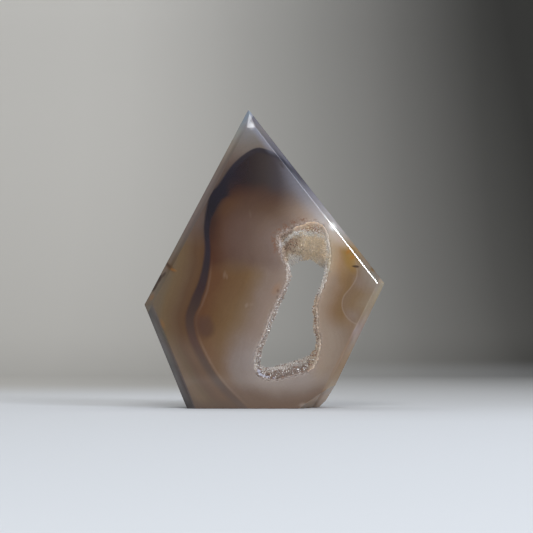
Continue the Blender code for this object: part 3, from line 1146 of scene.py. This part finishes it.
def crust_tube(druzy):
    """The crust under the crystals: a closed tube, marked on its inner side."""
    wall = rock_wall(WALL_COARSE)
    inner_mark = wall.faces.layers.float.new("inner")
    for face in wall.faces:
        face[inner_mark] = 1.0
    ways = [sideways(vert.normal) for vert in wall.verts]
    front = list(wall.verts)
    rims = [edge for edge in wall.edges if edge.is_boundary]
    copies = bmesh.ops.duplicate(wall, geom=wall.verts[:] + wall.edges[:] + wall.faces[:])
    twin = {vert: copies["vert_map"][vert] for vert in front}
    backs = [piece for piece in copies["geom"] if isinstance(piece, bmesh.types.BMFace)]
    bmesh.ops.reverse_faces(wall, faces=backs)
    for face in backs:
        face[inner_mark] = 0.0
    for vert, way in zip(front, ways):
        inset = HALF_THICKNESS - abs(vert.co.y)
        deep = min(inset / CRUST_RIM_DEPTH, 1.0)
        thick = druzy.crust_at_rim + (druzy.crust - druzy.crust_at_rim) * deep
        lump = noise.noise(vert.co / LUMP_SIZE) * CRUST_LUMPS
        hidden = twin[vert]
        hidden.co -= way * CRUST_BURIED
        vert.co += way * thick * (1 + lump)
        vert.co.z -= CEILING_SAG * ease(vert.co.z, *SAG_HEIGHTS) * ease(vert.co.y, *SAG_DEPTHS)
        for piece in (vert, hidden):
            piece.co.y *= 1 - CRUST_SET_BACK / HALF_THICKNESS
    for edge in rims:
        loop = edge.link_loops[0]
        a, b = loop.vert, loop.link_loop_next.vert
        wall.faces.new((b, a, twin[a], twin[b]))
    bmesh.ops.recalc_face_normals(wall, faces=wall.faces)
    knob_mark = wall.verts.layers.float.new("knob")
    for x, z, radius in KNOBS:
        place = Matrix.Translation(Vector((x, KNOB_DEPTH, z)) * MM)
        shape = place @ KNOB_SHAPE
        added = bmesh.ops.create_icosphere(wall, subdivisions=3, radius=radius * MM, matrix=shape)
        for vert in added["verts"]:
            vert[knob_mark] = 1.0
    return object_from(wall, "quartz_druzy")


# A crystal's six sides, how it leans and turns, its size and its slenderness, and how much of its
# height is sunk in the crust
CRYSTAL_SIDES = 6
MOST_PER_AREA = 9e6
LEAN = 0.5
LEAST_SIZE = 0.65
SIZE_RANGE = 0.8
SLENDERNESS = (0.7, 1.3)
SUNK = 0.35


def crystal_tree():
    """A node group that grows hexagonal points on the marked side of a crust."""
    group = bpy.data.node_groups.new("quartz_points", "GeometryNodeTree")
    sockets = {"Geometry": "Geometry", "Spacing": "Float", "Radius": "Float", "Height": "Float"}
    sockets.update({"Seed": "Int", "Material": "Material"})
    for name, kind in sockets.items():
        group.interface.new_socket(name, in_out="INPUT", socket_type="NodeSocket" + kind)
    group.interface.new_socket("Geometry", in_out="OUTPUT", socket_type="NodeSocketGeometry")
    tree = Tree(group)
    source = group.nodes.new("NodeGroupInput")
    given = {name: Wire(tree, source.outputs[name]) for name in sockets}

    def random(low, high, offset):
        """A random number or vector for each crystal."""
        seed = {"Seed": given["Seed"] + offset}
        if isinstance(low, tuple):
            kind, names, output = "FLOAT_VECTOR", ("Min", "Max"), "Value"
        else:
            kind, names, output = "FLOAT", ("Min_001", "Max_001"), "Value_001"
        values = {**dict(zip(names, (low, high))), **seed}
        return tree.node("FunctionNodeRandomValue", {"data_type": kind}, values, output)

    def stored(geometry, name, value, domain):
        """The geometry with a named number stored in it."""
        settings = {"data_type": "FLOAT", "domain": domain}
        values = {"Geometry": geometry, "Name": name, "Value": value}
        return tree.node("GeometryNodeStoreNamedAttribute", settings, values)

    marked = {"Name": "inner"}
    values = {
        "Mesh": given["Geometry"],
        "Selection": tree.node("GeometryNodeInputNamedAttribute", {"data_type": "FLOAT"}, marked, 0),
        "Distance Min": given["Spacing"],
        "Density Max": MOST_PER_AREA,
        "Seed": given["Seed"],
    }
    kind = "GeometryNodeDistributePointsOnFaces"
    points = tree.node(kind, {"distribute_method": "POISSON"}, values, "Points")
    lean = random((-LEAN, -LEAN, -math.pi), (LEAN, LEAN, math.pi), 1)
    values = {
        "Rotation": Wire(tree, points.socket.node.outputs["Rotation"]),
        "Rotate By": tree.node("FunctionNodeEulerToRotation", {}, {0: lean}),
    }
    rotation = tree.node("FunctionNodeRotateRotation", {"rotation_space": "LOCAL"}, values)
    size = LEAST_SIZE + random(0.0, 1.0, 2) ** 3 * SIZE_RANGE
    sizes = {0: size, 1: size, 2: size * random(*SLENDERNESS, 3)}
    scale = tree.node("ShaderNodeCombineXYZ", {}, sizes)

    values = {
        "Vertices": CRYSTAL_SIDES,
        "Side Segments": 1,
        "Radius Top": 0.0,
        "Radius Bottom": given["Radius"],
        "Depth": given["Height"],
    }
    crystal = tree.node("GeometryNodeMeshCone", {"fill_type": "NONE"}, values, "Mesh")
    sunk = tree.node("ShaderNodeCombineXYZ", {}, {2: given["Height"] * -SUNK})
    crystal = tree.node("GeometryNodeTransform", {}, {"Geometry": crystal, "Translation": sunk})
    place = tree.node("GeometryNodeInputPosition", {}, {})
    height = tree.node("ShaderNodeSeparateXYZ", {}, {0: place}, 2)
    crystal = stored(crystal, "tip", height / given["Height"], "POINT")
    values = {"Geometry": crystal, "Shade Smooth": False}
    crystal = tree.node("GeometryNodeSetShadeSmooth", {}, values)
    values = {"Points": points, "Instance": crystal, "Rotation": rotation, "Scale": scale}
    grown = tree.node("GeometryNodeInstanceOnPoints", {}, values)
    grown = stored(grown, "tint", random(0.0, 1.0, 4), "INSTANCE")
    joined = group.nodes.new("GeometryNodeJoinGeometry")
    for part in (grown, given["Geometry"]):
        group.links.new(part.socket, joined.inputs[0])
    real = tree.node("GeometryNodeRealizeInstances", {}, {0: Wire(tree, joined.outputs[0])})
    values = {"Geometry": real, "Material": given["Material"]}
    done = tree.node("GeometryNodeSetMaterial", {}, values)
    group.links.new(done.socket, group.nodes.new("NodeGroupOutput").inputs[0])
    return group


# The height above which the ceiling is stained, from left to right, in millimetres
CEILING_LINE = ((5, 49.5), (7, 52), (9, 53.4), (11, 53.7), (14, 53.5), (17, 53))

# Colours of the crust's front rim by height, on the left and on the right of the cavity
RIM_LEFT = (
    (15, 330, 275, 250), (22, 330, 270, 240), (29, 350, 285, 250), (33, 330, 255, 220),
    (36, 340, 260, 225), (38, 410, 350, 315), (42, 450, 390, 350), (43.5, 400, 330, 290),
    (45, 290, 230, 185), (47, 310, 250, 210), (48, 390, 330, 300), (49.5, 480, 420, 400),
    (51.5, 270, 190, 150),
)
RIM_RIGHT = (
    (20, 480, 385, 310), (24, 430, 325, 255), (28, 460, 360, 290), (32, 380, 285, 215),
    (35, 500, 430, 380), (37, 600, 540, 490), (40, 450, 385, 320), (43, 480, 400, 290),
    (46, 540, 430, 310), (49, 630, 550, 480), (52, 570, 490, 430), (55, 500, 360, 250),
)


# Where the crust's tones lie, bounded along x, z and the depth from the front, by noise, by the
# crystals' own marks, and by what Quartz works out from them
CRUST_PLACES = {
    "floor": (1, ("z", 19.5, 16, "cloud", 3)),
    # Painted light: the crust deep in the cavity is painted paler, as if lit through the stone from
    # behind.
    "deep": (0.6, ("depth", 4, 10)),
    "ceiling": (1, ("z", 44, 48, "cloud", 4)),
    "left": (1, ("x", 13, 8)),
    "right": (1, ("x", 13, 15)),
    "white_line": (1, ("above", -1.6, -1.2), ("above", 0.3, -0.1)),
    "right_edge": (1, ("depth", 4.5, 2.5, "cloud", 3), ("x", 14, 15.5)),
    "broken": (0.85, ("lumps", 0.33, 0.47)),
    "right_wall": (0.85, ("x", 13.5, 15), ("z", 33.5, 35.5)),
    "neck": (0.25, ("z", 35, 38)),
    "shelf": (1, ("z", 41.5, 43.5)),
    "corner": (1, ("x", 12.8, 10.4, "grit", 6), ("z", 47, 46, "grit", 3)),
    "inner_corner": (1, ("x", 6.8, 7.8)),
    "low_corner": (1, ("z", 44.5, 43.5)),
    "left_wall": (0.2, ("x", 9, 7), ("z", 34, 30), ("z", 14, 18)),
    "left_foot": (0.37, ("x", -0.6, -1.6), ("z", 17.5, 15.5), ("z", 10.5, 12)),
    "rusty": (1, ("x", 12.5, 14.5), ("z", 34.5, 32.5)),
    "stained": (0.65, ("rusted", 0.58, 0.66)),
    "seam": (1, ("depth", 3, 4), ("depth", 7, 5.5)),
    "seam_stain": (0.45, ("bits", 0.40, 0.55)),
    "ground": (1, ("z", 20, 17)),
    "dots": (1, ("speck", 1.10, 1.16)),
    "nook": (1, ("x", 14.5, 16), ("z", 46, 44.5)),
    "calm": (1, ("z", 41, 43)),
    # Painted shade in a crease at the left of the ceiling.
    "shaded_fold": (0.4, ("x", 8.2, 6.6), ("z", 45, 46.5), ("depth", 8, 5)),
    "crystals": (1, ("tint", 0.001, 0.003)),
    "bright_left": (0.05, ("x", 9, 8), ("z", 35, 33)),
    # Painted shade at the bases of the crystals.
    "shaded_feet": (1, ("tip", 0.2, -0.2)),
    "red": (0.7, ("above", -0.1, 0.2), ("x", 8.5, 10), ("bits", 0.46, 0.53)),
    "front": (1, ("depth", 1.6, 0.6)),
    "rough": (1, ("bits", 0.40, 0.60)),
    "left_lip": (1, ("x", 9.5, 8)),
    "upper_left_lip": (0.85, ("z", 41, 43)),
    "lower_left_lip": (0.6, ("z", 14, 17)),
    "right_lip": (1, ("x", 12.5, 14)),
    "top_lip": (1, ("x", 9, 10.5), ("z", 48, 50)),
    "thin_lip": (0.35, ("z", 52.5, 54), ("x", 17.5, 16)),
    "knobs": (1, ("knob", 0.4, 0.6)),
}

# The scales of the crust's noise, and how far the grit sways its white line, in mm
CLOUD_SCALE = 0.3
LUMP_SCALE = 0.8
BIT_SCALE = 2.2
LINE_SWAY = 3

# Painted sparkle: some of these bright crystals stand in for glints, the rest are white quartz.
# The random tints whose crystals are bright: those below the first a little, the second fully
BRIGHT_TINTS = (0.13, 0.10)

# What the crust's colours are multiplied by, at the least and at the most: from one crystal to
# the next, and along the rough front rim
CRYSTAL_TONES = ((0.86, 0.84, 0.80), (1.08, 1.08, 1.08))
ROUGH_TONES = ((0.78, 0.74, 0.70), (1.12, 1.14, 1.16))


class Quartz(Shading):
    """The druzy's material: sandy ceiling, pinkish walls, white rims, stains, dark grains and painted
    light and shade.
    """

    def __init__(self, druzy):
        super().__init__("quartz_druzy", CRUST_PLACES)
        self.druzy = druzy
        spot = self.place()
        self.x, y, self.z = self.parts(spot)
        self.depth = y + HALF_THICKNESS / MM
        self.tint, self.tip, self.knob = map(self.attribute, ("tint", "tip", "knob"))
        self.cloud = self.noise(spot, CLOUD_SCALE, 3.0)
        self.lumps = self.noise(spot, LUMP_SCALE, 3.0)
        self.bits = self.noise(spot, BIT_SCALE)
        self.grit = self.bits - 0.5
        self.above = self.z + self.grit * LINE_SWAY - self.level(self.x, CEILING_LINE)
        self.ceiling = self.within("ceiling")
        self.below = 1.0 - self.ceiling
        self.left = self.within("left") * self.ceiling
        self.right = self.within("right") * self.ceiling
        self.base = druzy.skin

    def coat(self, mask, tone, blend="MIX"):
        """Lays a colour over those before it."""
        self.base = self.mix(mask, self.base, tone, blend)

    def walls(self):
        """The tones of the ceiling, the walls and the floor, and their white parts and stains, with the
        deeper crust painted paler as if lit through the stone from behind.
        """
        druzy = self.druzy
        self.coat(self.within("floor"), druzy.flesh)
        # Painted light: the deeper walls and floor are painted paler, as if lit through the stone from
        # behind.
        self.coat(self.within("deep"), druzy.frost_and_painted_light)
        self.coat(self.ceiling, druzy.biscuit)
        self.coat(self.left * 0.55, druzy.skin)
        edges = self.within("white_line") | self.within("right_edge")
        height = self.within("neck") | self.within("shelf")
        bounds = self.within("inner_corner") | self.within("low_corner")
        self.corner = self.within("corner") * height * bounds
        white = edges * self.ceiling * self.within("broken") | self.within("right_wall") * self.below
        for place in (self.corner, self.within("left_wall"), self.within("left_foot")):
            white = white | place
        self.coat(white, druzy.frost_and_painted_light)
        rusty = self.within("rusty")
        self.coat(rusty * 0.5, druzy.biscuit)
        self.rusted = self.lumps + rusty * 0.09
        self.coat(self.within("stained") * (self.below | 0.2), druzy.stain)
        self.coat(1.0, self.mix(self.tint, *CRYSTAL_TONES), "MULTIPLY")

    def grains(self):
        """Painted shade between the crystals, at their bases and in a crease of the ceiling, dark
        grains, iron stains and bright crystals.
        """
        druzy = self.druzy
        seam = self.within("seam") * self.left
        ground = self.within("ground")
        self.speck = self.tint + self.lumps * 0.5 + self.left * 0.14 + seam * 0.4 + ground * 0.15
        calm = 1.0 - (self.corner | self.within("nook")) * self.within("calm")
        self.coat(seam * self.within("seam_stain"), druzy.stain)
        self.coat(self.within("dots") * (0.7 - self.right * 0.5) * calm, druzy.gap)
        # Painted shade in the crease at the left of the ceiling.
        self.coat(self.within("shaded_fold"), druzy.gap)
        crystals = self.within("crystals")
        more = ground * 0.06 | self.within("bright_left")
        bright = self.step(self.tint, *(tint + more for tint in BRIGHT_TINTS))
        self.sparkles = bright * crystals * (self.below | 0.3)
        # Bright crystals: white quartz, and painted sparkle in place of glints.
        self.coat(self.sparkles * 0.85, druzy.frost_and_painted_light)
        # Painted shade at the bases of the crystals.
        self.coat(self.within("shaded_feet") * crystals * (0.4 - self.right * 0.3) * calm, druzy.gap)
        self.coat(self.within("red") * self.ceiling, druzy.stain)

    def lips(self):
        """The crust's front rim, which takes the tones of the stone beside it."""
        front = self.within("front")
        rough = self.mix(self.within("rough"), *ROUGH_TONES)
        self.coat(front * 0.8, self.mix(1.0, self.base, rough, "MULTIPLY"))
        left = self.within("upper_left_lip") | self.within("lower_left_lip") * (1.0 - self.sparkles)
        left = left * self.within("left_lip")
        right = self.within("right_lip") | self.within("top_lip")
        right = right * (0.85 - self.within("thin_lip"))
        for lip, tones in ((left, RIM_LEFT), (right, RIM_RIGHT)):
            self.coat(lip * front, self.mix(1.0, self.tones(self.z, tones), rough, "MULTIPLY"))

    def grown(self):
        """The finished material."""
        self.walls()
        self.grains()
        self.lips()
        self.coat(self.within("knobs"), self.druzy.knob)
        constants = {
            "Roughness": 0.12,
            "IOR": QUARTZ_IOR,
            "Subsurface Weight": 0.35,
            "Subsurface Radius": (1.0, 0.8, 0.6),
            "Subsurface Scale": 0.7 * MM,
        }
        return self.finish(constants, {"Base Color": self.base})


class AGATE_OT_druzy(bpy.types.Operator):
    """Lines the cavity with a crust of small quartz crystals"""

    bl_idname = "agate.druzy"
    bl_label = "Grow Druzy"

    def execute(self, context):
        druzy = context.scene.agate_druzy
        crust = crust_tube(druzy)
        crust.data.shade_smooth()
        grow = crust.modifiers.new("crystals", "NODES")
        group = crystal_tree()
        grow.node_group = group
        given = {
            "Spacing": druzy.spacing,
            "Radius": druzy.radius,
            "Height": druzy.height,
            "Seed": druzy.seed,
            "Material": Quartz(druzy).grown(),
        }
        for item in group.interface.items_tree:
            if item.in_out == "INPUT" and item.name in given:
                grow[item.identifier] = given[item.name]
        bare = len(crust.data.polygons)
        settle(crust)
        if len(crust.data.polygons) <= bare:
            raise RuntimeError("no crystals grew on the crust")
        places = coordinates(crust.data)
        limit = HALF_THICKNESS - CRUST_SET_BACK
        places[:, 1] = places[:, 1].clip(-limit, limit)
        crust.data.vertices.foreach_set("co", places.astype(np.float32).ravel())
        crust.data.update()
        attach(crust, "root")
        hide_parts(CRUST_NODE)
        return {"FINISHED"}


# The stage

CAMERA_PLACE = Vector((0.6, -490.0, 17.0)) * MM
CAMERA_AIM = Vector((0.6, -10.0, 42.6)) * MM
PHOTO_WIDTH = 533
FOCAL_PIXELS = 1600
SENSOR = 36.0
CLIP = (0.01, 20.0)


def add_camera(scene):
    """The camera, low in front of the carving and tipped up a little."""
    data = bpy.data.cameras.new("camera")
    data.sensor_width = SENSOR
    data.lens = FOCAL_PIXELS / PHOTO_WIDTH * SENSOR
    data.clip_start, data.clip_end = CLIP
    camera = bpy.data.objects.new("camera", data)
    camera.location = CAMERA_PLACE
    camera.rotation_euler = (CAMERA_AIM - CAMERA_PLACE).to_track_quat("-Z", "Y").to_euler()
    scene.collection.objects.link(camera)
    scene.camera = camera


FLOOR_NEAR = -1.5
FLOOR_FAR = 0.62
SWEEP_RADIUS = 0.30
WALL_TOP = 1.6
STAGE_HALF_WIDTH = 2.4
SWEEP_STEPS = 16

# The lamps: what each looks at, the way to it from there, its distance, size and shape, in metres
Lamp = namedtuple("Lamp", "name aim way distance size shape")
STONE_MIDDLE = Vector((0, 0, 45 * MM))
LAMPS = (
    Lamp("key", STONE_MIDDLE, (372, -385, 273), 0.60, (0.066, 0.066), "DISK"),
    Lamp("window", STONE_MIDDLE, (350, -398, 330), 0.66, (0.26, 0.26), "RECTANGLE"),
    Lamp("top", STONE_MIDDLE, (0, -0.74, 0.67), 0.9, (0.5, 0.35), "RECTANGLE"),
    Lamp("wall", Vector((0, FLOOR_FAR, 0)), (0, -0.35, 1), 1.0, (1.6, 0.4), "RECTANGLE"),
    Lamp("bounce", STONE_MIDDLE, (0.1, -1, -0.03), 0.5, (0.4, 0.04), "RECTANGLE"),
)
WINDOW_COLOUR = (0.80, 0.87, 1.0)
SKY_COLOUR = (1.0, 0.99, 0.97, 1.0)


def add_lamp(lamp, watts):
    """A lamp that isn't seen itself, as a new object."""
    data = bpy.data.lights.new(lamp.name + "_lamp", "AREA")
    data.shape = lamp.shape
    data.size, data.size_y = lamp.size
    data.energy = watts
    made = bpy.data.objects.new(data.name, data)
    way = Vector(lamp.way).normalized()
    made.location = lamp.aim + way * lamp.distance
    made.rotation_euler = way.to_track_quat("Z", "Y").to_euler()
    made.visible_camera = False
    bpy.context.scene.collection.objects.link(made)
    return made


def add_sweep(stage):
    """The floor, which sweeps up into the backdrop far behind the carving."""
    profile = [(FLOOR_NEAR, 0.0)]
    for i in range(SWEEP_STEPS + 1):
        turn = math.pi / 2 * i / SWEEP_STEPS
        rise = SWEEP_RADIUS * (1 - math.cos(turn))
        profile.append((FLOOR_FAR + SWEEP_RADIUS * math.sin(turn), rise))
    profile.append((FLOOR_FAR + SWEEP_RADIUS, WALL_TOP))
    bm = bmesh.new()
    rows = []
    for y, z in profile:
        rows.append([bm.verts.new((x, y, z)) for x in (-STAGE_HALF_WIDTH, STAGE_HALF_WIDTH)])
    for near, far in zip(rows, rows[1:]):
        bm.faces.new((near[0], near[1], far[1], far[0]))
    sweep = object_from(bm, "stage_sweep")
    sweep.data.shade_smooth()
    sweep.data.materials.append(stage_paint(stage))


# The wall's painted shade from left to right, in metres, and how much darker it gets upwards
WALL_SHADE = (
    (-0.23, 0.157), (-0.16, 0.153), (-0.12, 0.185), (-0.09, 0.235), (-0.05, 0.315), (-0.02, 0.4),
    (0.02, 0.49), (0.05, 0.57), (0.09, 0.662), (0.12, 0.755), (0.16, 0.852), (0.19, 0.928),
    (0.23, 0.985),
)
WALL_RISE = ((-0.23, 0), (-0.12, 0.05), (0, 0.55), (0.09, 0.85), (0.16, 0.95), (0.23, 0.85))
NO_RISE = 0.65
MIDDLE_OF_WALL = 0.14

# How far the floor's paint has turned into the wall's, by distance behind the carving in metres:
# on the left, and on the right, where it turns slowly
FLOOR_LEFT = ((0.04, 0), (0.1, 0.09), (0.16, 0.3), (0.205, 0.5), (0.25, 0.7), (0.31, 0.91), (0.37, 1))
FLOOR_RIGHT = (
    (-0.1, 0), (-0.04, 0.11), (0.02, 0.28), (0.09, 0.4), (0.19, 0.48), (0.32, 0.6), (0.52, 0.73),
    (0.63, 0.8),
)


# Where the floor's near paint ends and how far it takes to turn into the far one
NEAR_PAINT = -0.34
PAINT_TURN = 0.44
STAGE_PLACES = {
    # Painted shade along the wall's foot, where it meets the floor.
    "foot": (0.05, ("z", 0.035, 0)),
    "right": (1, ("x", -0.02, 0.04)),
    "raised": (1, ("z", 0, 0.012)),
}


def stage_paint(stage):
    """Matt paint: a pale floor, and a wall whose painted shade deepens to the right and along its foot.
    """
    shade = Shading("stage_paint", STAGE_PLACES)
    place = shade.node("ShaderNodeTexCoord", {}, {}, "Object")
    shade.x, y, shade.z = shade.parts(place)
    rise = shade.level(shade.x, WALL_RISE) - NO_RISE
    dark = shade.level(shade.x, WALL_SHADE) + rise * (shade.z - MIDDLE_OF_WALL)
    wall = shade.mix(dark + shade.within("foot"), stage.wall_light, stage.wall_dark)
    floor = shade.mix((y - NEAR_PAINT) / PAINT_TURN, stage.floor_near, stage.floor_far)
    right = shade.within("right")
    far = shade.level(y, FLOOR_LEFT) * (1.0 - right) + shade.level(y, FLOOR_RIGHT) * right
    far = far + (1.0 - far) * shade.within("raised")
    base = shade.mix(far, floor, wall)
    return shade.finish({"Roughness": 0.7, "Specular IOR Level": 0.2}, {"Base Color": base})


class AGATE_OT_stage(bpy.types.Operator):
    """Sets up the camera, the floor with its backdrop, and the studio light"""

    bl_idname = "agate.stage"
    bl_label = "Set Stage"

    def execute(self, context):
        scene = context.scene
        stage = scene.agate_stage
        add_camera(scene)
        add_sweep(stage)
        world = bpy.data.worlds.new("studio")
        world.use_nodes = True
        sky = world.node_tree.nodes["Background"]
        sky.inputs["Color"].default_value = SKY_COLOUR
        sky.inputs["Strength"].default_value = stage.world
        scene.world = world
        lamps = {lamp.name: add_lamp(lamp, getattr(stage, lamp.name)) for lamp in LAMPS}
        lamps["window"].data.color = WINDOW_COLOUR
        lamps["bounce"].visible_glossy = False
        scene.view_settings.view_transform = "Standard"
        return {"FINISHED"}


class AGATE_PT_panel(bpy.types.Panel):
    """The tools that dress the carving."""

    bl_idname = "AGATE_PT_panel"
    bl_label = "Agate Carving"
    bl_space_type = "VIEW_3D"
    bl_region_type = "UI"
    bl_category = "Agate"

    def draw(self, context):
        scene = context.scene
        tools = ((AGATE_OT_stage, scene.agate_stage), (AGATE_OT_slab, scene.agate_stone))
        for tool, settings in (*tools, (AGATE_OT_druzy, scene.agate_druzy)):
            box = self.layout.box()
            box.operator(tool.bl_idname)
            for name in settings.__annotations__:
                box.prop(settings, name)


SETTINGS = {"agate_stone": StoneSettings, "agate_druzy": DruzySettings, "agate_stage": StageSettings}
TOOLS = (AGATE_OT_stage, AGATE_OT_slab, AGATE_OT_druzy, AGATE_PT_panel)


def register():
    """Registers the settings, the tools and the panel."""
    for kind in (*SETTINGS.values(), *TOOLS):
        bpy.utils.register_class(kind)
    for name, kind in SETTINGS.items():
        setattr(bpy.types.Scene, name, bpy.props.PointerProperty(type=kind))


def unregister():
    """Takes them out again."""
    for name in SETTINGS:
        delattr(bpy.types.Scene, name)
    for kind in reversed((*SETTINGS.values(), *TOOLS)):
        bpy.utils.unregister_class(kind)


def main():
    """Registers the tools, sets the stage and makes both pieces."""
    register()
    bpy.ops.agate.stage()
    bpy.ops.agate.slab()
    bpy.ops.agate.druzy()


if __name__ == "__main__":
    main()
